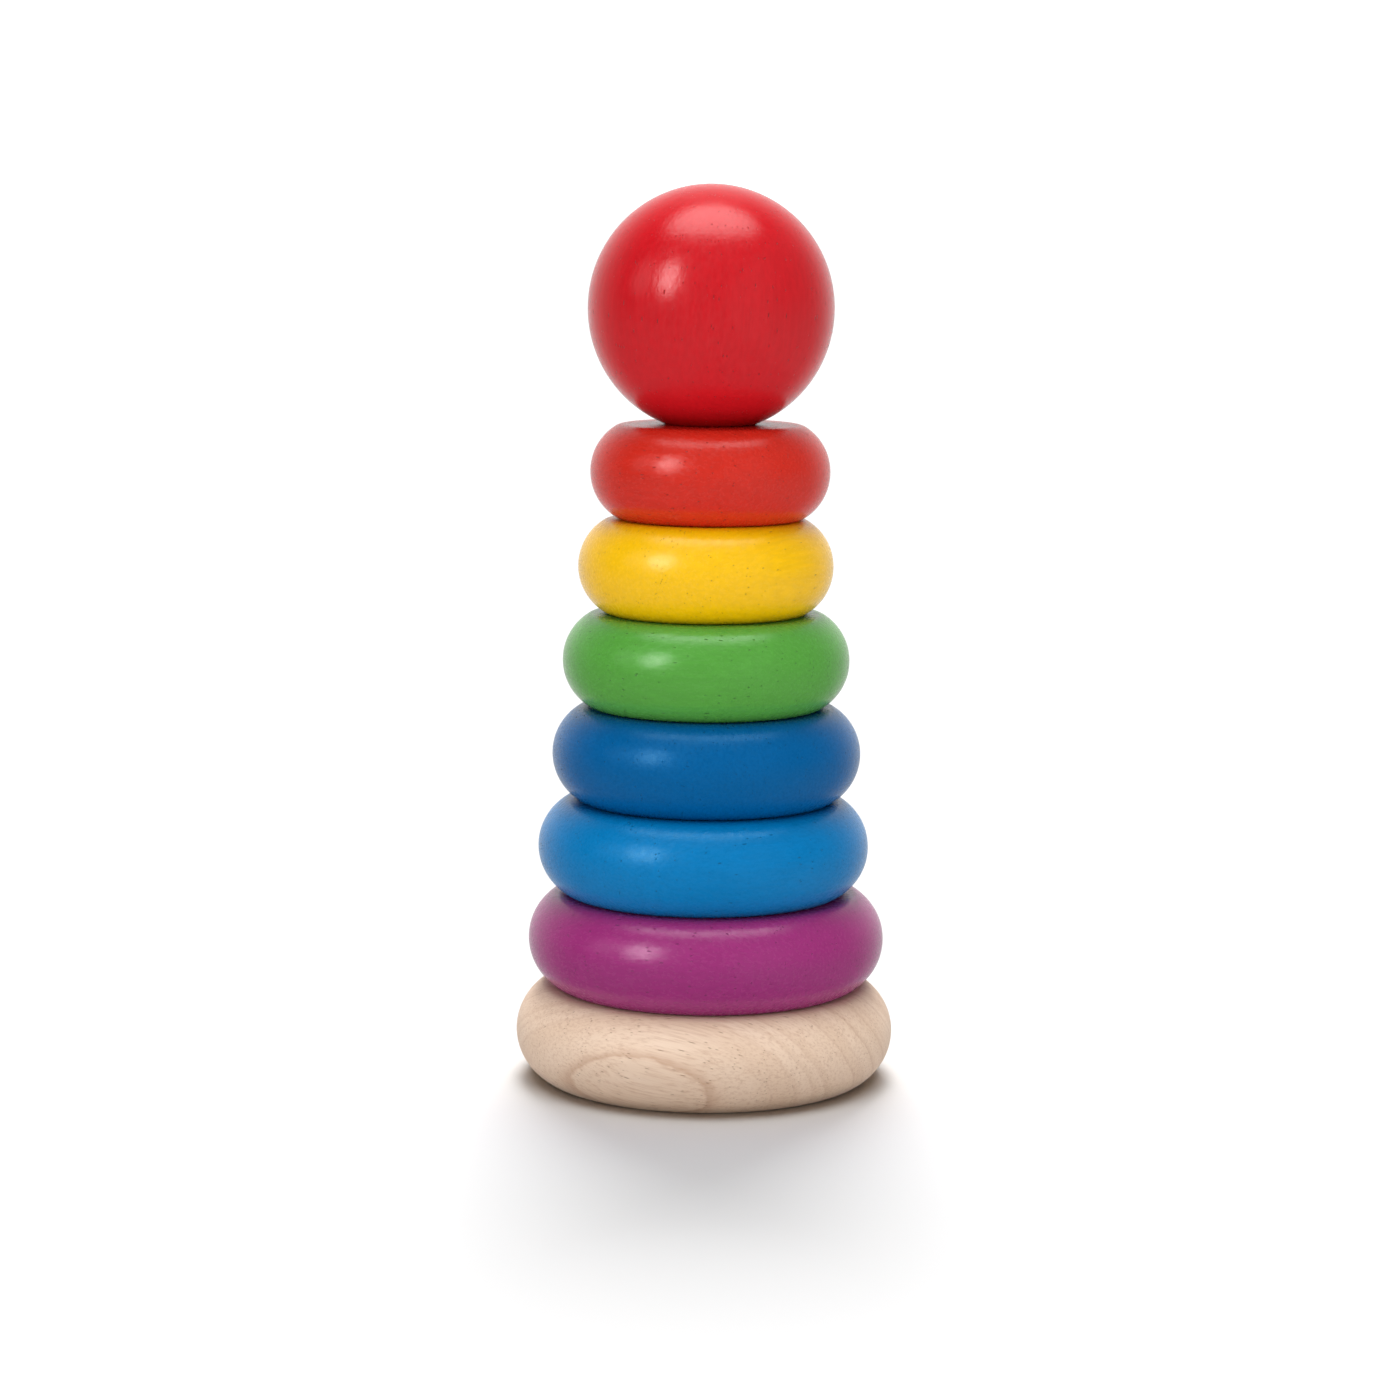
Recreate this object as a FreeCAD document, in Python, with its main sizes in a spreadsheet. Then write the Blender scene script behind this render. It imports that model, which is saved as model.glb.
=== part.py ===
import FreeCAD
import Part
import Sketcher

import math
import os

# Wooden stacking-ring toy: a turned base with an upright peg, six graded rings and a ball on top.
#
# The base and the rings are turned from the same board: two flat faces joined by a crowned rim with
# eased shoulders. The peg is glued into a blind socket in the base. The rings slide over it with
# play and rest face to face. The ball has a small flat to stand on and a blind bore for the tip.
#
# Frame: millimetres, +Z up, origin at the centre of the base's underside.

PARTS_FOLDER = "parts"
RADIUS_MATCH = 1e-4
VOLUME_MATCH = 1e-6

# The driving dimensions: name, millimetres, what it is.
SIZES = [
    ("base_diameter", 89.0, "base disc"),
    ("purple_diameter", 83.8, "first ring up"),
    ("light_blue_diameter", 77.7, "second ring up"),
    ("dark_blue_diameter", 72.3, "third ring up"),
    ("green_diameter", 67.1, "fourth ring up"),
    ("yellow_diameter", 59.6, "fifth ring up"),
    ("orange_diameter", 55.8, "sixth ring up"),
    ("ball_diameter", 57.0, "ball on top"),
    ("base_thickness", 22.0, "base, face to face"),
    ("ring_thickness", 22.0, "each ring, face to face"),
    ("crown_extra", 1.3, "how far the crown radius of a rim exceeds half the thickness"),
    ("shoulder_radius", 4.0, "eased shoulder between a rim and a face"),
    ("peg_diameter", 14.0, "dowel that the rings slide on"),
    ("peg_tip_radius", 5.0, "rounding of the peg's free end"),
    ("peg_foot_chamfer", 1.0, "lead-in at the glued end of the peg"),
    ("socket_floor", 6.0, "wood left under the peg"),
    ("socket_mouth_chamfer", 0.6, "room for squeezed-out glue"),
    ("ring_clearance", 1.0, "radial play of the rings and the ball on the peg"),
    ("bore_easing", 1.5, "rounding at both mouths of a ring's bore"),
    ("ball_bore_easing", 1.0, "rounding at the mouth of the ball's bore"),
    ("ball_land", 1.3, "width of the flat left around the ball's bore"),
    ("ball_engagement", 30.0, "length of peg inside the ball"),
    ("ball_end_gap", 3.0, "peg tip to the end of the ball's bore"),
]

# The rings from the bottom up. Each rests off the peg's axis by this share of its play, along X.
RINGS = [
    ("purple", 0.25),
    ("light_blue", -0.55),
    ("dark_blue", 0.0),
    ("green", -0.25),
    ("yellow", -0.5),
    ("orange", 0.35),
]
BALL_REST_SHARE = 0.2

# Sizes that follow from the driving ones.
STACK_HEIGHT = f"{len(RINGS)} * Sizes.ring_thickness"
BORE_DIAMETER = "(Sizes.peg_diameter + 2 * Sizes.ring_clearance)"
SOCKET_DEPTH = "(Sizes.base_thickness - Sizes.socket_floor)"
PEG_LENGTH = f"({SOCKET_DEPTH} + {STACK_HEIGHT} + Sizes.ball_engagement)"
BALL_FLAT_RADIUS = f"({BORE_DIAMETER} / 2 + Sizes.ball_bore_easing + Sizes.ball_land)"


def make_sheet(doc):
    """The spreadsheet of driving dimensions, one name a row."""
    sheet = doc.addObject("Spreadsheet::Sheet", "Sizes")
    for row, (name, value, meaning) in enumerate(SIZES, start=1):
        sheet.set(f"A{row}", name)
        sheet.set(f"B{row}", str(value))
        sheet.set(f"C{row}", meaning)
        sheet.setAlias(f"B{row}", name)
    doc.recompute()
    return sheet


def new_body(doc, name, height, shift="0"):
    """An empty body that stands at a height, and off the axis by a shift, both expressions."""
    body = doc.addObject("PartDesign::Body", name)
    body.Label = name
    body.setExpression(".Placement.Base.x", shift)
    body.setExpression(".Placement.Base.z", height)
    return body


def new_sketch(body, name, role):
    """A sketch on one of the body's own origin planes."""
    plane = next(item for item in body.Origin.OriginFeatures if item.Role == role)
    sketch = body.newObject("Sketcher::SketchObject", f"{body.Label}_{name}")
    sketch.AttachmentSupport = [(plane, "")]
    sketch.MapMode = "FlatFace"
    return sketch


def bind(sketch, name, constraint, expression):
    """Adds a driving constraint and ties it to the sheet."""
    index = sketch.addConstraint(constraint)
    sketch.renameConstraint(index, name)
    sketch.setExpression(f"Constraints.{name}", expression)


def line(x0, y0, x1, y1):
    return Part.LineSegment(FreeCAD.Vector(x0, y0, 0), FreeCAD.Vector(x1, y1, 0))


def arc(x, y, radius, start, end):
    circle = Part.Circle(FreeCAD.Vector(x, y, 0), FreeCAD.Vector(0, 0, 1), radius)
    return Part.ArcOfCircle(circle, start, end)


def add_foot_and_axis(sketch, foot_length, height):
    """The flat that a turned piece stands on, from the axis outwards, and the axis, from the top down."""
    foot = sketch.addGeometry(line(0, 0, foot_length, 0))
    axis = sketch.addGeometry(line(0, height, 0, 0))
    sketch.addConstraint(Sketcher.Constraint("Coincident", foot, 1, -1, 1))
    sketch.addConstraint(Sketcher.Constraint("Coincident", axis, 2, -1, 1))
    sketch.addConstraint(Sketcher.Constraint("Horizontal", foot))
    sketch.addConstraint(Sketcher.Constraint("Vertical", axis))
    return foot, axis


def revolve(body, sketch):
    turned = body.newObject("PartDesign::Revolution", f"{body.Label}_turned")
    turned.Profile = sketch
    turned.ReferenceAxis = (sketch, ["V_Axis"])
    turned.Angle = 360
    body.Document.recompute()
    return turned


def turn_disc(body, sheet, diameter, thickness):
    """A disc with a crowned rim, standing on the body's XY plane."""
    height = sheet.get(thickness)
    shoulder = sheet.get("shoulder_radius")
    crown = height / 2 + sheet.get("crown_extra")
    crown_x = sheet.get(diameter) / 2 - crown
    lean = math.asin((height / 2 - shoulder) / (crown - shoulder))
    shoulder_x = crown_x + (crown - shoulder) * math.cos(lean)
    quarter = math.pi / 2

    sketch = new_sketch(body, "section", "XZ_Plane")
    foot, axis = add_foot_and_axis(sketch, shoulder_x, height)
    lower = sketch.addGeometry(arc(shoulder_x, shoulder, shoulder, -quarter, -lean))
    rim = sketch.addGeometry(arc(crown_x, height / 2, crown, -lean, lean))
    upper = sketch.addGeometry(arc(shoulder_x, height - shoulder, shoulder, lean, quarter))
    top = sketch.addGeometry(line(shoulder_x, height, 0, height))
    sketch.addConstraint(Sketcher.Constraint("Horizontal", top))
    sketch.addConstraint(Sketcher.Constraint("Coincident", top, 2, axis, 1))
    sketch.addConstraint(Sketcher.Constraint("Tangent", foot, 2, lower, 1))
    sketch.addConstraint(Sketcher.Constraint("Tangent", lower, 2, rim, 1))
    sketch.addConstraint(Sketcher.Constraint("Tangent", rim, 2, upper, 1))
    sketch.addConstraint(Sketcher.Constraint("Tangent", upper, 2, top, 1))
    sketch.addConstraint(Sketcher.Constraint("Equal", lower, upper))

    crown_size = f"(Sizes.{thickness} / 2 + Sizes.crown_extra)"
    driven = [
        ("crown", ("Radius", rim, crown), crown_size),
        ("shoulder", ("Radius", lower, shoulder), "Sizes.shoulder_radius"),
        ("crown_x", ("DistanceX", -1, 1, rim, 3, crown_x), f"Sizes.{diameter} / 2 - {crown_size}"),
        ("crown_z", ("DistanceY", -1, 1, rim, 3, height / 2), f"Sizes.{thickness} / 2"),
        ("thickness", ("DistanceY", -1, 1, axis, 1, height), f"Sizes.{thickness}"),
    ]
    for name, constraint, expression in driven:
        bind(sketch, name, Sketcher.Constraint(*constraint), expression)
    return revolve(body, sketch)


def turn_ball(body, sheet):
    """A ball cut off flat at the bottom, standing on the body's XY plane."""
    radius = sheet.get("ball_diameter") / 2
    flat = (
        sheet.get("peg_diameter") / 2
        + sheet.get("ring_clearance")
        + sheet.get("ball_bore_easing")
        + sheet.get("ball_land")
    )
    centre_z = math.sqrt(radius**2 - flat**2)

    sketch = new_sketch(body, "section", "XZ_Plane")
    foot, axis = add_foot_and_axis(sketch, flat, centre_z + radius)
    side = sketch.addGeometry(arc(0, centre_z, radius, -math.atan2(centre_z, flat), math.pi / 2))
    sketch.addConstraint(Sketcher.Constraint("Coincident", side, 1, foot, 2))
    sketch.addConstraint(Sketcher.Constraint("Coincident", side, 2, axis, 1))
    sketch.addConstraint(Sketcher.Constraint("PointOnObject", side, 3, axis))
    bind(sketch, "ball", Sketcher.Constraint("Radius", side, radius), "Sizes.ball_diameter / 2")
    bind(sketch, "flat", Sketcher.Constraint("DistanceX", -1, 1, foot, 2, flat), BALL_FLAT_RADIUS)
    return revolve(body, sketch)


def add_circle(sketch, diameter):
    """A circle about the sketch's origin, its diameter an expression."""
    circle = sketch.addGeometry(Part.Circle(FreeCAD.Vector(0, 0, 0), FreeCAD.Vector(0, 0, 1), 5))
    sketch.addConstraint(Sketcher.Constraint("Coincident", circle, 3, -1, 1))
    bind(sketch, "diameter", Sketcher.Constraint("Diameter", circle, 10), diameter)


def cut_bore(body, before, depth, start_height=None):
    """A round pocket about the axis: up from the foot, or down from start_height where one is given.

    before is the feature it cuts, diameter and depth are expressions; the cut is checked by volume.
    """
    diameter = "Sizes.peg_diameter" if start_height else BORE_DIAMETER
    sketch = new_sketch(body, "bore_outline", "XY_Plane")
    add_circle(sketch, diameter)
    if start_height:
        sketch.setExpression(".AttachmentOffset.Base.z", start_height)

    pocket = body.newObject("PartDesign::Pocket", f"{body.Label}_bore")
    pocket.Profile = sketch
    pocket.Type = "Length"
    pocket.Reversed = start_height is None
    pocket.setExpression("Length", depth)
    body.Document.recompute()

    radius = sketch.getDatum("diameter").Value / 2
    wanted = before.Shape.Volume - math.pi * radius**2 * pocket.Length.Value
    if abs(pocket.Shape.Volume / wanted - 1) > VOLUME_MATCH:
        raise RuntimeError(f"{pocket.Label} did not cut what it should")
    return pocket, radius


def circular_edges(feature, radius, heights):
    """The names of a feature's round edges that have this radius and lie at one of these heights."""
    names = []
    for number, edge in enumerate(feature.Shape.Edges, start=1):
        if edge.Degenerated or not isinstance(edge.Curve, Part.Circle):
            continue
        right_radius = abs(edge.Curve.Radius - radius) < RADIUS_MATCH
        right_height = any(abs(edge.Curve.Center.z - z) < RADIUS_MATCH for z in heights)
        if right_radius and right_height:
            names.append(f"Edge{number}")
    if len(names) != len(heights):
        raise RuntimeError(f"{feature.Label}: found {names} where {len(heights)} edges were due")
    return names


def ease_edges(body, kind, feature, edges, size_property, size):
    """A fillet or a chamfer on round edges, its size an expression."""
    eased = body.newObject(f"PartDesign::{kind}", f"{body.Label}_{kind.lower()}")
    eased.Base = (feature, edges)
    eased.setExpression(size_property, size)
    body.Document.recompute()
    return eased


def make_base(doc, sheet):
    body = new_body(doc, "base", "0")
    disc = turn_disc(body, sheet, "base_diameter", "base_thickness")
    socket, radius = cut_bore(body, disc, SOCKET_DEPTH, "Sizes.base_thickness")
    mouth = circular_edges(socket, radius, [sheet.get("base_thickness")])
    ease_edges(body, "Chamfer", socket, mouth, "Size", "Sizes.socket_mouth_chamfer")
    return body


def make_peg(doc, sheet):
    body = new_body(doc, "center_peg", "Sizes.socket_floor")
    sketch = new_sketch(body, "outline", "XY_Plane")
    add_circle(sketch, "Sizes.peg_diameter")
    dowel = body.newObject("PartDesign::Pad", "center_peg_dowel")
    dowel.Profile = sketch
    dowel.setExpression("Length", PEG_LENGTH)
    doc.recompute()

    radius = sheet.get("peg_diameter") / 2
    tip = circular_edges(dowel, radius, [dowel.Length.Value])
    rounded = ease_edges(body, "Fillet", dowel, tip, "Radius", "Sizes.peg_tip_radius")
    foot = circular_edges(rounded, radius, [0])
    ease_edges(body, "Chamfer", rounded, foot, "Size", "Sizes.peg_foot_chamfer")
    return body


def make_ring(doc, sheet, level, colour, rest_share):
    height = f"Sizes.base_thickness + {level} * Sizes.ring_thickness"
    body = new_body(doc, f"{colour}_ring", height, f"{rest_share} * Sizes.ring_clearance")
    disc = turn_disc(body, sheet, f"{colour}_diameter", "ring_thickness")
    bored, radius = cut_bore(body, disc, "Sizes.ring_thickness")
    mouths = circular_edges(bored, radius, [0, sheet.get("ring_thickness")])
    ease_edges(body, "Fillet", bored, mouths, "Radius", "Sizes.bore_easing")
    return body


def make_ball(doc, sheet):
    height = f"Sizes.base_thickness + {STACK_HEIGHT}"
    body = new_body(doc, "red_ball", height, f"{BALL_REST_SHARE} * Sizes.ring_clearance")
    ball = turn_ball(body, sheet)
    bored, radius = cut_bore(body, ball, "Sizes.ball_engagement + Sizes.ball_end_gap")
    mouth = circular_edges(bored, radius, [0])
    ease_edges(body, "Fillet", bored, mouth, "Radius", "Sizes.ball_bore_easing")
    return body


def check(doc):
    """Stops the build where any feature failed or any shape is empty or broken."""
    for item in doc.Objects:
        if "Invalid" in item.State or "Error" in item.State:
            raise RuntimeError(f"{item.Label} did not compute: {item.State}")
        if item.isDerivedFrom("Part::Feature"):
            if item.Shape.isNull() or not item.Shape.isValid():
                raise RuntimeError(f"{item.Label} has a broken shape")


def export(bodies):
    os.makedirs(PARTS_FOLDER, exist_ok=True)
    for body in bodies:
        if len(body.Shape.Solids) != 1:
            raise RuntimeError(f"{body.Label} is not one solid")
        body.Shape.exportStep(os.path.join(PARTS_FOLDER, f"{body.Label}.step"))


def main():
    doc = FreeCAD.newDocument("StackingRings")
    sheet = make_sheet(doc)
    bodies = [make_base(doc, sheet), make_peg(doc, sheet)]
    for level, (colour, rest_share) in enumerate(RINGS):
        bodies.append(make_ring(doc, sheet, level, colour, rest_share))
    bodies.append(make_ball(doc, sheet))
    doc.recompute()
    check(doc)
    export(bodies)


main()
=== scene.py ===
"""Looks of the wooden stacking-ring toy.

Six rings and a ball turned from rubberwood, under thin satin paint, on a bare waxed base with a bare peg.
"""

import math
import random

import bmesh
import bpy
from mathutils import Matrix, Vector


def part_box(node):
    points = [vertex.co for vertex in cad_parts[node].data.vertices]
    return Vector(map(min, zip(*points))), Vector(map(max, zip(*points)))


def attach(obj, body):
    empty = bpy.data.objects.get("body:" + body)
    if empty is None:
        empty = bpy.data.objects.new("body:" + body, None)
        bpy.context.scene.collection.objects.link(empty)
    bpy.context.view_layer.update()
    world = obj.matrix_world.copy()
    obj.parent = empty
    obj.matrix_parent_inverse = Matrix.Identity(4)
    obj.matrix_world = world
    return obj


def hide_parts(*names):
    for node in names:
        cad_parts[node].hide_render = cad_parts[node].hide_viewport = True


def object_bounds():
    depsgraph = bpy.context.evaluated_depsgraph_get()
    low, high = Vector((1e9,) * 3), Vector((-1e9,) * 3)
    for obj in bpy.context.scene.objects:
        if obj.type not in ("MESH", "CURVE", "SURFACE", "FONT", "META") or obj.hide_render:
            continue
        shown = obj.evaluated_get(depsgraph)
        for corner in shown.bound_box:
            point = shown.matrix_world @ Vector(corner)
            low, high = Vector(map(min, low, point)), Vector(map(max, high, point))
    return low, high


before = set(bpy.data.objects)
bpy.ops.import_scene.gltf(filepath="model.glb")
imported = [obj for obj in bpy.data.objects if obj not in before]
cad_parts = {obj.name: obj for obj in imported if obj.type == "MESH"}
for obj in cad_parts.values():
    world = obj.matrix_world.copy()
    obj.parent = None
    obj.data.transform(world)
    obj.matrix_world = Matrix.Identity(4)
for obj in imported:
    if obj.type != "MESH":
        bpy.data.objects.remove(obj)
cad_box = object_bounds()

MM = 0.001

# ---------------------------------------------------------------- sizes shared with the CAD model, in metres
BORE_RADIUS = 8.0 * MM
BORE_EASING = 1.5 * MM
CROWN_EXTRA = 1.3 * MM
SHOULDER_RADIUS = 4.0 * MM
SOCKET_FLOOR = 6.0 * MM
SOCKET_MOUTH_CHAMFER = 0.6 * MM
PEG_RADIUS = 7.0 * MM
PEG_TIP_RADIUS = 5.0 * MM
PEG_FOOT_CHAMFER = 1.0 * MM
BALL_RADIUS = 28.5 * MM
BALL_BORE_DEPTH = 33.0 * MM
BALL_BORE_EASING = 1.0 * MM

# ---------------------------------------------------------------- fineness of the meshes
SPIN_STEPS = 192
ARC_STEP = math.radians(4)
FLAT_STEP = 3.0 * MM
ON_AXIS = 0.0001 * MM

# ---------------------------------------------------------------- hand finish
# Sanding leaves a few low waves on a turned piece. They cut in by up to twice the depth, and never stand out.
FINISH_WAVES = 6
FINISH_DEPTH = 0.045 * MM
WAVES_ROUND = (2, 14)
WAVE_SLANT = (-9, 9)
WAVE_WEIGHT = (0.4, 1)

# Each piece takes its wood's pattern from a random place, up to this many millimetres away along each axis.
PATTERN_REACH = 400


def linear(red, green, blue):
    """A colour given as a screen shows it, 0 to 255, as the linear colour that a shader takes."""
    channels = [c / 255 for c in (red, green, blue)]
    return [c / 12.92 if c <= 0.04045 else ((c + 0.055) / 1.055) ** 2.4 for c in channels] + [1.0]


def darker(colour, share):
    """A linear colour at a share of its strength."""
    return [c * share for c in colour[:3]] + [1.0]


# ---------------------------------------------------------------- paint
WHITE = (1, 1, 1, 1)
FILM_IOR = 1.45
PLAIN_GLOSS = 0.5
BLUE_GLOSS = 0.36

# The rings from the bottom up, then the ball: the paint's slot, its colour, the grain's turn about Z in
# degrees, the roughness, and the strength and tint of the gloss.
PAINTS = {
    "purple_ring": ("purple_paint", linear(158, 46, 119), 22, 0.25, PLAIN_GLOSS, WHITE),
    "light_blue_ring": ("light_blue_paint", linear(0, 121, 186), 160, 0.28, BLUE_GLOSS, (0.5, 0.9, 1, 1)),
    "dark_blue_ring": ("dark_blue_paint", linear(0, 92, 154), 75, 0.28, BLUE_GLOSS, (0.3, 0.75, 1, 1)),
    "green_ring": ("green_paint", linear(86, 163, 62), 10, 0.25, PLAIN_GLOSS, WHITE),
    "yellow_ring": ("yellow_paint", linear(252, 197, 0), 130, 0.25, PLAIN_GLOSS, WHITE),
    "orange_ring": ("orange_paint", linear(210, 41, 26), 35, 0.25, PLAIN_GLOSS, WHITE),
    "red_ball": ("red_paint", linear(205, 22, 32), 0, 0.22, PLAIN_GLOSS, WHITE),
}

# The ball's grain stands almost upright: its turn about Y in degrees.
BALL_GRAIN_LEAN = 86

# ---------------------------------------------------------------- bare wood
WOOD_PALE = linear(238, 213, 190)
WOOD_TAN = linear(229, 201, 176)
WOOD_BROWN = linear(190, 146, 116)
PORE_BROWN = linear(152, 106, 78)

# Growth lines: depth below the outermost wood in millimetres, and darkness.
BASE_LINES = [
    (-1.6, 0.5), (4.5, 0.12), (8.5, 0.16), (12.0, 0.12), (15.0, 0.15), (20.0, 0.1),
    (23.5, 0.28), (27.0, 0.12), (32.0, 0.3), (38.5, 0.2), (41.0, 0.15), (47.0, 0.3),
    (52.0, 0.2), (56.5, 0.2), (63.0, 0.3), (70.0, 0.25), (76.0, 0.2),
]
PEG_LINES = [(2.0, 0.3), (5.0, 0.4), (7.5, 0.2), (11.0, 0.35)]

# How each bare piece lies in its board: the grain's turn in degrees about X, Y and Z, the pith's place across
# the board and the outermost wood's distance from it in millimetres, how much the lines twist, and the lines.
BASE_BOARD = ((0, -10, 14), (0, 121, 88), 181.2, 0.0003, BASE_LINES)
PEG_BOARD = ((0, 90, 0), (0, 40, 45), 67.0, 0.0, PEG_LINES)

# The lines don't twist at this height, half the base's. They sway slowly and ripple finely by these amounts,
# and each darkens over its edge and trails off towards the first depth. All are in millimetres.
TWIST_HEIGHT = 11.0
GROWTH_SWAY = 3.0
GROWTH_RIPPLE = 0.9
LINE_EDGE = 0.35
LINE_TRAIL = (2.4, 0.2)

# Sizes of the wood's and the paint's features in millimetres, along the grain and across it.
WOOD_PORE = (6.0, 0.55, 0.55)
WOOD_FIBRE = (9.0, 0.5, 0.5)
PAINTED_PORE = (3.2, 0.75, 0.75)
PAINTED_STREAK = (14.0, 0.9, 0.9)
PAINT_PEEL = (1.5, 0.75, 0.75)

# The share of a place that turning marks wander by, so that they aren't perfect circles.
MARK_WANDER = 0.012

# Relief in millimetres.
PORE_RELIEF = -0.12
FIBRE_RELIEF = 0.03
BARE_MARK_RELIEF = 0.012
STREAK_RELIEF = 0.012
PAINTED_MARK_RELIEF = 0.018
PEEL_RELIEF = 0.035

# ---------------------------------------------------------------- seeds of the random draws
BASE_SEED = 1
PEG_SEED = 2
FIRST_RING_SEED = 3
BALL_SEED = 20

# ---------------------------------------------------------------- floor, light and camera
FLOOR_SIZE = 60.0
FLOOR_WHITE = (0.9, 0.9, 0.9, 1)
LAMP_DISTANCE = 1.0

# Azimuth right of the camera and elevation in degrees, strength, how wide the soft source is in degrees, and
# whether it lights the toy alone and leaves the floor's shadow as it is.
LAMPS = {
    "back_softbox": (180, 50, 2.3, 28, False),
    "overhead_softbox": (180, 86, 2.1, 56, False),
    "front_fill": (-4, 20, 2.65, 120, True),
}

# The room is only seen in the gloss. Each soft panel: azimuth and elevation of its middle, its half width and
# half height in degrees, the share of that over which it fades out, and its radiance.
PANELS = {
    "overhead": (180, 88, 28, 19, 0.3, 4.6),
    "key": (-44, 27, 9.5, 14, 0.25, 9.0),
    "left_lobe": (-74, 23, 9, 14, 0.5, 1.0),
    "right_wall": (90, 5, 76, 46, 0.08, 0.28),
    "back_wall": (180, 5, 62, 45, 0.7, 0.95),
    "floor_glow": (0, -90, 88, 88, 0.2, 0.15),
}
ROOM_RADIANCE = 0.03
BACKDROP = 1.3

CAMERA_PLACE = Vector((-0.0016, -0.797, 0.2077))
CAMERA_AIM = Vector((-0.0016, 0.0, 0.0894))
CAMERA_ROLL = math.radians(0.5)
SENSOR = 36.0
LENS = 88.45
NEAREST_SEEN = 0.01
FARTHEST_SEEN = 100

TOY = bpy.data.collections.new("toy")


# ================================================================ turned meshes


def straight(start, end, step=FLAT_STEP):
    """Points from start up to, but not including, end."""
    start, end = Vector(start), Vector(end)
    count = max(1, round((end - start).length / step))
    return [start.lerp(end, i / count) for i in range(count)]


def bend(centre, radius, start, end, step=ARC_STEP):
    """Points along an arc from one angle up to, but not including, another; angles in degrees."""
    start, end = math.radians(start), math.radians(end)
    count = max(2, round(abs(end - start) / step))
    angles = [start + (end - start) * i / count for i in range(count)]
    return [Vector(centre) + radius * Vector((math.cos(a), math.sin(a))) for a in angles]


def rim(radius, height):
    """Outer half section of a disc: lower shoulder, crown and upper shoulder; and where its flats end."""
    crown = height / 2 + CROWN_EXTRA
    rise = height / 2 - SHOULDER_RADIUS
    lean = math.degrees(math.asin(rise / (crown - SHOULDER_RADIUS)))
    flat = radius - crown + (crown - SHOULDER_RADIUS) * math.cos(math.radians(lean))
    points = bend((flat, SHOULDER_RADIUS), SHOULDER_RADIUS, -90, -lean)
    points += bend((radius - crown, height / 2), crown, -lean, lean)
    points += bend((flat, height - SHOULDER_RADIUS), SHOULDER_RADIUS, lean, 90)
    return points, flat


def ring_section(radius, height):
    """Closed section of a ring, from the inner end of its lower face outwards."""
    edge, flat = rim(radius, height)
    inner = BORE_RADIUS + BORE_EASING
    return (
        straight((inner, 0), (flat, 0))
        + edge
        + straight((flat, height), (inner, height))
        + bend((inner, height - BORE_EASING), BORE_EASING, 90, 180, ARC_STEP * 3)
        + straight((BORE_RADIUS, height - BORE_EASING), (BORE_RADIUS, BORE_EASING))
        + bend((inner, BORE_EASING), BORE_EASING, 180, 270, ARC_STEP * 3)
    )


def base_section(radius, height):
    """Open section of the base, from the axis on its underside to the axis on its socket's floor."""
    edge, flat = rim(radius, height)
    mouth = PEG_RADIUS + SOCKET_MOUTH_CHAMFER
    return (
        straight((0, 0), (flat, 0))
        + edge
        + straight((flat, height), (mouth, height))
        + straight((mouth, height), (PEG_RADIUS, height - SOCKET_MOUTH_CHAMFER))
        + straight((PEG_RADIUS, height - SOCKET_MOUTH_CHAMFER), (PEG_RADIUS, SOCKET_FLOOR))
        + straight((PEG_RADIUS, SOCKET_FLOOR), (0, SOCKET_FLOOR))
        + [Vector((0, SOCKET_FLOOR))]
    )


def peg_section(height):
    """Open section of the peg, from the axis at its foot to the axis at its tip."""
    foot = PEG_RADIUS - PEG_FOOT_CHAMFER
    tip = PEG_RADIUS - PEG_TIP_RADIUS
    return (
        straight((0, 0), (foot, 0))
        + straight((foot, 0), (PEG_RADIUS, PEG_FOOT_CHAMFER))
        + straight((PEG_RADIUS, PEG_FOOT_CHAMFER), (PEG_RADIUS, height - PEG_TIP_RADIUS))
        + bend((tip, height - PEG_TIP_RADIUS), PEG_TIP_RADIUS, 0, 90, ARC_STEP * 2)
        + straight((tip, height), (0, height))
        + [Vector((0, height))]
    )


def ball_section(height):
    """Open section of the ball, from the axis at the end of its bore to the axis on its top."""
    centre = height - BALL_RADIUS
    flat = math.sqrt(BALL_RADIUS**2 - centre**2)
    inner = BORE_RADIUS + BALL_BORE_EASING
    return (
        straight((0, BALL_BORE_DEPTH), (BORE_RADIUS, BALL_BORE_DEPTH))
        + straight((BORE_RADIUS, BALL_BORE_DEPTH), (BORE_RADIUS, BALL_BORE_EASING))
        + bend((inner, BALL_BORE_EASING), BALL_BORE_EASING, 180, 270, ARC_STEP * 4)
        + straight((inner, 0), (flat, 0))
        + bend((0, centre), BALL_RADIUS, math.degrees(math.asin(-centre / BALL_RADIUS)), 90, ARC_STEP / 2)
        + [Vector((0, height))]
    )


def finish_wave(seed):
    """The slight unevenness that hand sanding leaves, as a function of angle and share of the height."""
    draw = random.Random(seed)
    waves = []
    for _ in range(FINISH_WAVES):
        count = draw.randint(*WAVES_ROUND)
        slant = draw.uniform(*WAVE_SLANT)
        start = draw.uniform(0, math.tau)
        waves.append((count, slant, start, draw.uniform(*WAVE_WEIGHT)))
    total = sum(weight for _, _, _, weight in waves)

    def depth(angle, share):
        swing = sum(w * math.sin(n * angle + m * share + p) for n, m, p, w in waves) / total
        return FINISH_DEPTH * (swing - 1) * 4 * share * (1 - share)

    return depth


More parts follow.
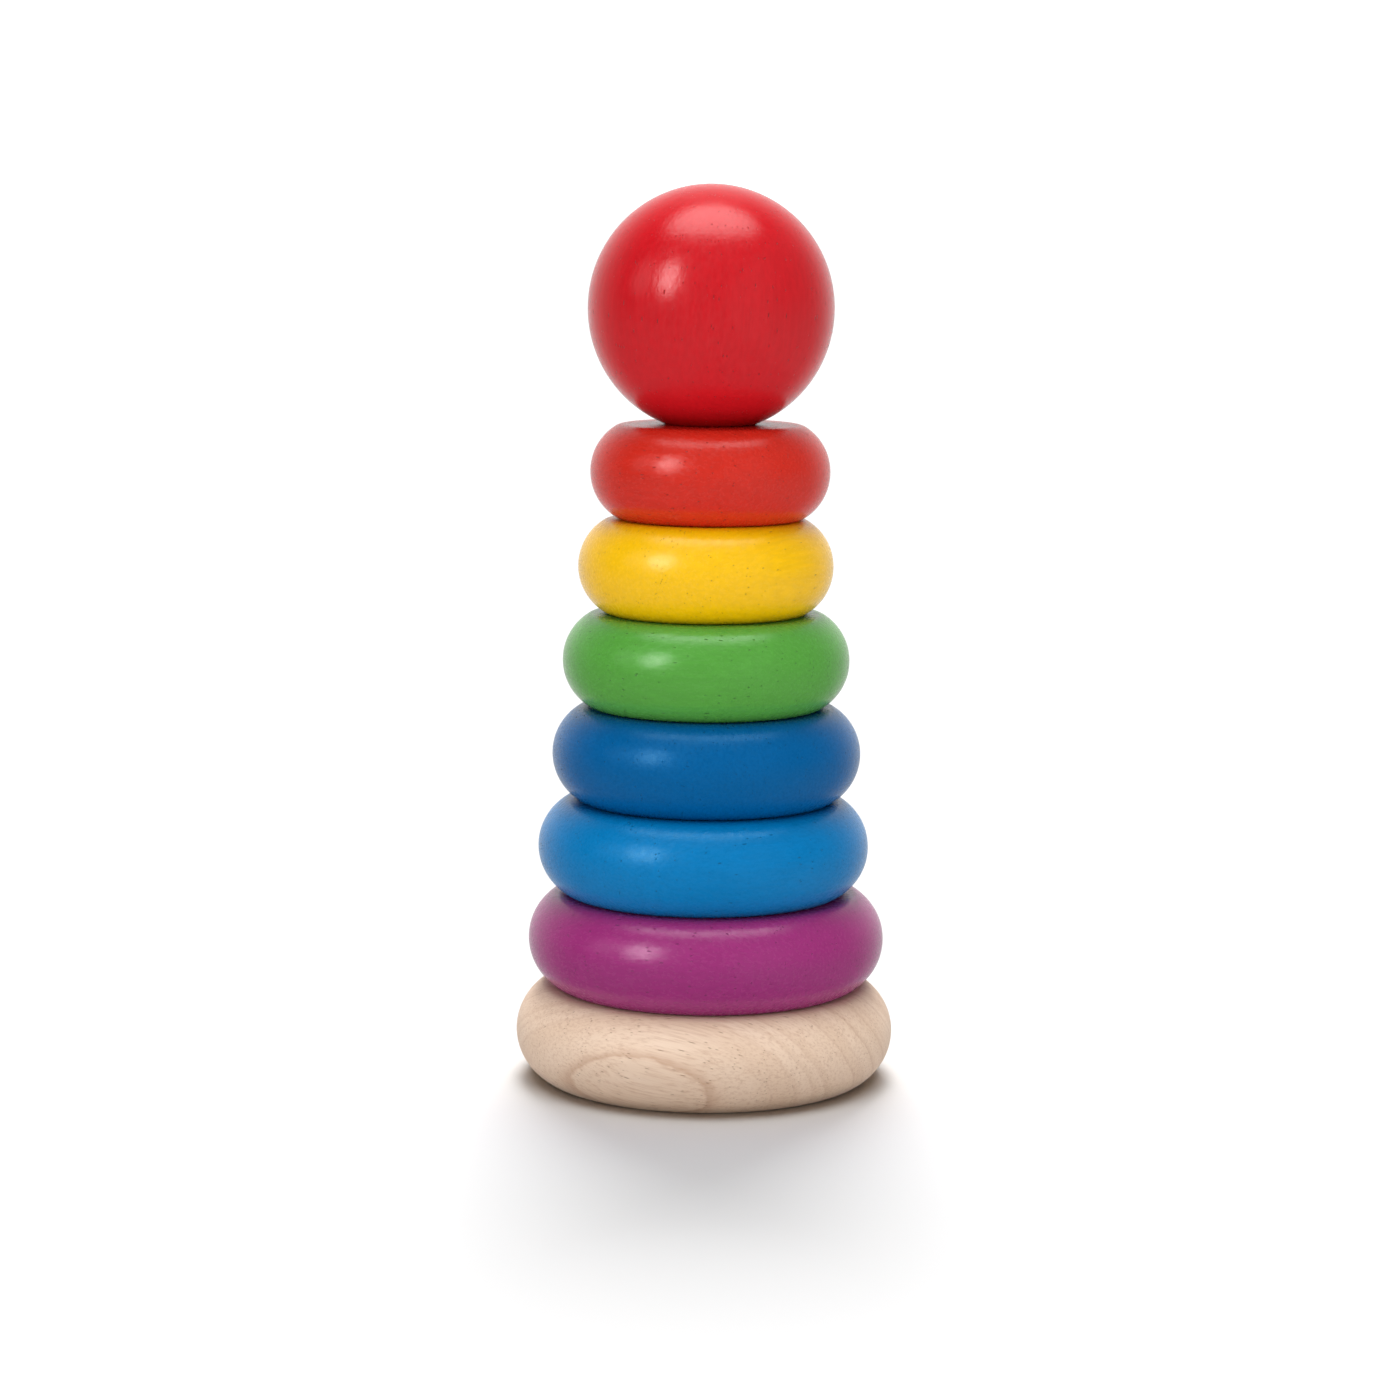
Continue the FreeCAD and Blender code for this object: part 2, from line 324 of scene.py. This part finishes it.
def turn(name, section, closed, height, foot, seed):
    """Spins a half section about the upright axis through foot into a mesh of quads."""
    depth = finish_wave(seed)
    build = bmesh.new()
    rows = []
    for point in section:
        if point.x < ON_AXIS:
            rows.append([build.verts.new((0, 0, point.y))])
            continue
        outside = point.x > BORE_RADIUS + BORE_EASING
        row = []
        for step in range(SPIN_STEPS):
            angle = math.tau * step / SPIN_STEPS
            radius = point.x + (depth(angle, point.y / height) if outside else 0)
            row.append(build.verts.new((radius * math.cos(angle), radius * math.sin(angle), point.y)))
        rows.append(row)
    following = rows[1:] + rows[:1] if closed else rows[1:]
    for lower, upper in zip(rows, following):
        for step in range(SPIN_STEPS):
            after = (step + 1) % SPIN_STEPS
            corners = [lower[step % len(lower)], lower[after % len(lower)]]
            corners += [upper[after % len(upper)], upper[step % len(upper)]]
            build.faces.new(dict.fromkeys(corners))
    bmesh.ops.recalc_face_normals(build, faces=build.faces)
    for face in build.faces:
        face.smooth = True
    mesh = bpy.data.meshes.new(name)
    build.to_mesh(mesh)
    build.free()
    piece = bpy.data.objects.new(name, mesh)
    piece.location = foot
    bpy.context.scene.collection.objects.link(piece)
    return piece


def place(node):
    """A CAD node's foot (the middle of its underside), outer radius and height."""
    low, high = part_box(node)
    middle = (low + high) / 2
    return Vector((middle.x, middle.y, low.z)), (high.x - low.x) / 2, high.z - low.z


# ================================================================ materials


class Graph:
    """The nodes of a material or world, with short ways to add them. An input is a value or a socket."""

    def __init__(self, tree):
        self.tree = tree
        self.tree.nodes.clear()

    def feed(self, socket, value):
        if isinstance(value, bpy.types.NodeSocket):
            self.tree.links.new(value, socket)
        else:
            socket.default_value = value

    def add(self, kind, inputs=(), **settings):
        node = self.tree.nodes.new("ShaderNode" + kind)
        for key, value in settings.items():
            setattr(node, key, value)
        for key, value in dict(inputs).items():
            self.feed(node.inputs[key], value)
        return node

    def math(self, operation, *values):
        return self.add("Math", enumerate(values), operation=operation).outputs[0]

    def vector(self, operation, *values):
        """Vector maths whose result is a vector."""
        return self.add("VectorMath", enumerate(values), operation=operation).outputs[0]

    def scaled(self, vector, factor):
        return self.add("VectorMath", {0: vector, "Scale": factor}, operation="SCALE").outputs[0]

    def length(self, vector):
        return self.add("VectorMath", {0: vector}, operation="LENGTH").outputs["Value"]

    def dot(self, vector, direction):
        return self.add("VectorMath", {0: vector, 1: direction}, operation="DOT_PRODUCT").outputs["Value"]

    def fade(self, value, low, high, to_low=0.0, to_high=1.0):
        """A smooth step of value between low and high."""
        inputs = {"Value": value, "From Min": low, "From Max": high, "To Min": to_low, "To Max": to_high}
        return self.add("MapRange", inputs, interpolation_type="SMOOTHSTEP").outputs[0]

    def mix(self, share, first, second):
        """A blend of two colours. The node has its colour sockets after those for numbers and vectors."""
        node = self.add("Mix", data_type="RGBA")
        for index, value in zip((0, 6, 7), (share, first, second)):
            self.feed(node.inputs[index], value)
        return node.outputs[2]

    def noise(self, vector, scale, detail=2.0, roughness=0.5):
        inputs = {"Vector": vector, "Scale": scale, "Detail": detail, "Roughness": roughness}
        return self.add("TexNoise", inputs).outputs["Fac"]

    def relief(self, first, *others):
        """A height in millimetres: the sum of patterns, each times its own relief."""
        height = self.math("MULTIPLY", *first)
        for pattern, amount in others:
            height = self.math("MULTIPLY_ADD", pattern, amount, height)
        return height


def new_material(name):
    material = bpy.data.materials.new(name)
    material.use_nodes = True
    return material, Graph(material.node_tree)


def millimetres(graph, seed):
    """The point in millimetres: moved, so that no two pieces share a pattern, and in the piece's own space."""
    draw = random.Random(seed)
    offset = [draw.uniform(-PATTERN_REACH, PATTERN_REACH) for _ in range(3)]
    own = graph.scaled(graph.add("TexCoord").outputs["Object"], 1 / MM)
    return graph.vector("ADD", own, offset), own


def along_grain(graph, point, turn_by):
    """point turned so that X runs along the grain; the turns are in degrees."""
    turned = graph.add(
        "VectorRotate",
        {"Vector": point, "Rotation": [math.radians(angle) for angle in turn_by]},
        rotation_type="EULER_XYZ",
    )
    return turned.outputs[0]


def pores(graph, board, cell, size, open_share):
    """0 on plain wood to 1 in the middle of an open vessel: long cells, and a pit in some of them."""
    stretched = graph.vector("DIVIDE", board, cell)
    voronoi = graph.add("TexVoronoi", {"Vector": stretched, "Scale": 1.0, "Randomness": 1.0})
    lot = graph.add("SeparateColor", {"Color": voronoi.outputs["Color"]}).outputs[0]
    reach = graph.fade(lot, 1 - open_share, 1.0, to_low=0.02, to_high=size)
    share = graph.math("DIVIDE", voronoi.outputs["Distance"], reach)
    return graph.fade(share, low=1.0, high=0.4)


def turning_marks(graph, own):
    """Fine lines round the axis, as a lathe tool and sandpaper leave them."""
    parts = graph.add("SeparateXYZ", {"Vector": own})
    across = graph.add("CombineXYZ", {"X": parts.outputs["X"], "Y": parts.outputs["Y"]}).outputs[0]
    section = graph.add("CombineXYZ", {"X": graph.length(across), "Y": parts.outputs["Z"]}).outputs[0]
    wander = graph.scaled(own, MARK_WANDER)
    return graph.noise(graph.vector("ADD", section, wander), scale=2.6, detail=3.0, roughness=0.7)


def shade(graph, colour, roughness, height, gloss, tint):
    """The surface shader, with bump from a height in millimetres."""
    bump = graph.add("Bump", {"Height": height, "Strength": 1.0, "Distance": MM}).outputs[0]
    surface = graph.add("BsdfPrincipled", {"Base Color": colour, "Roughness": roughness, "Normal": bump})
    surface.inputs["IOR"].default_value = FILM_IOR
    surface.inputs["Specular IOR Level"].default_value = gloss
    surface.inputs["Specular Tint"].default_value = tint
    graph.add("OutputMaterial", {"Surface": surface.outputs[0]})


def painted(name, colour, turn_by, seed, base_rough, gloss, tint):
    """Thin satin paint over open-pored wood: the pores and a trace of the grain stay visible."""
    material, graph = new_material(name)
    point, own = millimetres(graph, seed)
    board = along_grain(graph, point, turn_by)
    pits = pores(graph, board, PAINTED_PORE, size=0.24, open_share=0.6)
    streaks = graph.noise(graph.vector("DIVIDE", board, PAINTED_STREAK), scale=1.0, detail=3.0, roughness=0.6)
    cloud = graph.noise(point, scale=0.09)
    marks = turning_marks(graph, own)
    peel = graph.noise(graph.vector("DIVIDE", board, PAINT_PEEL), scale=1.0)

    dull = darker(colour, 0.92)
    tone = graph.mix(graph.fade(streaks, 0.38, 0.62), dull, colour)
    tone = graph.mix(graph.fade(cloud, 0.2, 0.8, to_high=0.35), tone, dull)
    tone = graph.mix(graph.math("MULTIPLY", pits, 0.8), tone, darker(colour, 0.45))

    rough = graph.fade(peel, 0.3, 0.7, to_low=base_rough - 0.04, to_high=base_rough + 0.05)
    rough = graph.math("MULTIPLY_ADD", pits, 0.25, rough)
    height = graph.relief(
        (pits, PORE_RELIEF), (streaks, STREAK_RELIEF), (marks, PAINTED_MARK_RELIEF), (peel, PEEL_RELIEF)
    )
    shade(graph, tone, rough, height, gloss, tint)
    return material


def growth(graph, board, pith, rim_distance, twist, lines):
    """How dark the growth line is at a point, and a slow variation from one year's wood to the next."""
    sway = graph.noise(board, scale=0.035)
    ripple = graph.noise(board, scale=0.3)
    across = graph.vector("MULTIPLY", graph.vector("SUBTRACT", board, pith), (0, 1, 1))
    parts = graph.add("SeparateXYZ", {"Vector": board})
    bow = graph.math("MULTIPLY", graph.math("POWER", parts.outputs["X"], 2.0), twist)
    lift = graph.math("SUBTRACT", parts.outputs["Z"], TWIST_HEIGHT)
    depth = graph.math("SUBTRACT", rim_distance, graph.length(across))
    depth = graph.math("MULTIPLY_ADD", bow, lift, depth)
    depth = graph.math("MULTIPLY_ADD", graph.math("SUBTRACT", sway, 0.5), GROWTH_SWAY, depth)
    depth = graph.math("MULTIPLY_ADD", graph.math("SUBTRACT", ripple, 0.5), GROWTH_RIPPLE, depth)
    dark = 0.0
    for line_depth, darkness in lines:
        past = graph.math("SUBTRACT", depth, line_depth)
        edge = graph.fade(past, 0.0, LINE_EDGE)
        tail = graph.math("POWER", graph.fade(past, *LINE_TRAIL), 2.5)
        mark = graph.math("MULTIPLY", graph.math("MULTIPLY", edge, tail), darkness)
        dark = graph.math("MAXIMUM", dark, mark)
    bands = graph.noise(graph.add("CombineXYZ", {"X": depth}).outputs[0], scale=0.22)
    return dark, bands


def bare(name, board_facts, seed):
    """Waxed rubberwood: growth lines, flecks along the grain and open pores."""
    turn_by, pith, rim_distance, twist, lines = board_facts
    material, graph = new_material(name)
    point, own = millimetres(graph, seed)
    board = along_grain(graph, point, turn_by)
    pits = pores(graph, board, WOOD_PORE, size=0.26, open_share=0.85)
    fibre = graph.noise(graph.vector("DIVIDE", board, WOOD_FIBRE), scale=1.0, detail=3.0, roughness=0.65)
    cloud = graph.noise(point, scale=0.06, detail=3.0)
    marks = turning_marks(graph, own)
    dark, bands = growth(graph, along_grain(graph, own, turn_by), pith, rim_distance, twist, lines)

    tone = graph.mix(graph.fade(bands, 0.3, 0.7), WOOD_PALE, WOOD_TAN)
    tone = graph.mix(graph.fade(cloud, 0.3, 0.75, to_high=0.5), tone, WOOD_TAN)
    tone = graph.mix(graph.fade(fibre, 0.42, 0.78, to_high=0.5), tone, WOOD_BROWN)
    tone = graph.mix(dark, tone, WOOD_BROWN)
    tone = graph.mix(graph.math("MULTIPLY", pits, 0.6), tone, PORE_BROWN)

    rough = graph.fade(fibre, 0.2, 0.8, to_low=0.5, to_high=0.62)
    height = graph.relief((pits, PORE_RELIEF), (fibre, FIBRE_RELIEF), (marks, BARE_MARK_RELIEF))
    shade(graph, tone, rough, height, PLAIN_GLOSS, WHITE)
    return material


# ================================================================ pieces


def finish_piece(piece, body, node, material):
    TOY.objects.link(piece)
    piece.data.materials.append(material)
    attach(piece, body)
    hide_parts(node)


def make_base():
    foot, radius, height = place("base")
    piece = turn("turned_base", base_section(radius, height), False, height, foot, BASE_SEED)
    wood = bare("natural_wood_base", BASE_BOARD, BASE_SEED)
    finish_piece(piece, "base", "base", wood)


def make_peg():
    foot, _, height = place("center_peg")
    piece = turn("turned_peg", peg_section(height), False, height, foot, PEG_SEED)
    wood = bare("natural_wood_peg", PEG_BOARD, PEG_SEED)
    finish_piece(piece, "base", "center_peg", wood)


def make_ring(node, seed):
    slot, colour, turn_about_z, rough, gloss, tint = PAINTS[node]
    foot, radius, height = place(node)
    piece = turn("turned_" + node, ring_section(radius, height), True, height, foot, seed)
    paint = painted(slot, colour, (0, 0, turn_about_z), seed, rough, gloss, tint)
    finish_piece(piece, node, node, paint)


def make_ball():
    slot, colour, turn_about_z, rough, gloss, tint = PAINTS["red_ball"]
    foot, _, height = place("red_ball")
    piece = turn("turned_ball", ball_section(height), False, height, foot, BALL_SEED)
    paint = painted(slot, colour, (0, BALL_GRAIN_LEAN, turn_about_z), BALL_SEED, rough, gloss, tint)
    finish_piece(piece, "red_ball", "red_ball", paint)


# ================================================================ floor, light and camera


def direction(azimuth, elevation):
    """Unit vector from the toy; azimuth 0 is towards the camera and grows to its right."""
    a, e = math.radians(azimuth), math.radians(elevation)
    return Vector((math.sin(a) * math.cos(e), -math.cos(a) * math.cos(e), math.sin(e)))


def panel_glow(graph, look, azimuth, elevation, half_width, half_height, soft, radiance):
    """One soft panel's radiance in the direction look: full inside its oval, none past its faded edge."""
    ahead = direction(azimuth, elevation)
    side = direction(azimuth + 90, 0)
    across = graph.math("ARCTAN2", graph.dot(look, side), graph.dot(look, ahead))
    across = graph.math("DIVIDE", across, math.radians(half_width))
    up = graph.math("ARCSINE", graph.dot(look, side.cross(ahead)))
    up = graph.math("DIVIDE", up, math.radians(half_height))
    squares = graph.math("ADD", graph.math("POWER", across, 2.0), graph.math("POWER", up, 2.0))
    return graph.fade(graph.math("SQRT", squares), 1 + soft, 1 - soft, to_high=radiance)


def make_world():
    """A dim room with soft panels for the gloss, which the camera sees as plain white."""
    world = bpy.data.worlds.new("studio")
    bpy.context.scene.world = world
    world.use_nodes = True
    world.cycles_visibility.diffuse = False
    graph = Graph(world.node_tree)
    look = graph.add("TexCoord").outputs["Generated"]
    level = ROOM_RADIANCE
    for panel in PANELS.values():
        level = graph.math("MAXIMUM", level, panel_glow(graph, look, *panel))
    seen = graph.add("LightPath").outputs["Is Camera Ray"]
    strength = graph.math("MAXIMUM", level, graph.math("MULTIPLY", seen, BACKDROP))
    sky = graph.add("Background", {"Color": WHITE, "Strength": strength})
    graph.add("OutputWorld", {"Surface": sky.outputs[0]})


def make_floor():
    """A matt white floor that fades into the backdrop."""
    mesh = bpy.data.meshes.new("floor")
    half = FLOOR_SIZE / 2
    corners = [(-half, -half, 0), (half, -half, 0), (half, half, 0), (-half, half, 0)]
    mesh.from_pydata(corners, [], [(0, 1, 2, 3)])
    floor = bpy.data.objects.new("floor", mesh)
    floor.location.z = cad_box[0].z
    bpy.context.scene.collection.objects.link(floor)
    material, graph = new_material("white_floor")
    surface = graph.add("BsdfDiffuse", {"Color": FLOOR_WHITE})
    graph.add("OutputMaterial", {"Surface": surface.outputs[0]})
    mesh.materials.append(material)
    floor.visible_glossy = False


def make_lamps():
    """Soft suns for the matt part of the light; the gloss sees the room's panels and not these."""
    middle = (cad_box[0] + cad_box[1]) / 2
    for name, (azimuth, elevation, strength, width, toy_only) in LAMPS.items():
        light = bpy.data.lights.new(name, "SUN")
        light.energy = strength
        light.angle = math.radians(width)
        towards = direction(azimuth, elevation)
        lamp = bpy.data.objects.new(name, light)
        lamp.location = middle + towards * LAMP_DISTANCE
        lamp.rotation_euler = towards.to_track_quat("Z", "Y").to_euler()
        lamp.visible_glossy = False
        bpy.context.scene.collection.objects.link(lamp)
        if toy_only:
            lamp.light_linking.receiver_collection = TOY


def make_camera():
    data = bpy.data.cameras.new("camera")
    data.sensor_width = SENSOR
    data.lens = LENS
    data.clip_start = NEAREST_SEEN
    data.clip_end = FARTHEST_SEEN
    camera = bpy.data.objects.new("camera", data)
    towards = CAMERA_AIM - CAMERA_PLACE
    turn_to = towards.to_track_quat("-Z", "Y").to_matrix().to_4x4()
    camera.matrix_world = Matrix.Translation(CAMERA_PLACE) @ turn_to @ Matrix.Rotation(CAMERA_ROLL, 4, "Z")
    bpy.context.scene.collection.objects.link(camera)
    bpy.context.scene.camera = camera


make_base()
make_peg()
for seed, node in enumerate([name for name in PAINTS if name.endswith("_ring")], start=FIRST_RING_SEED):
    make_ring(node, seed)
make_ball()
make_world()
make_floor()
make_lamps()
make_camera()
bpy.context.scene.view_settings.view_transform = "Standard"
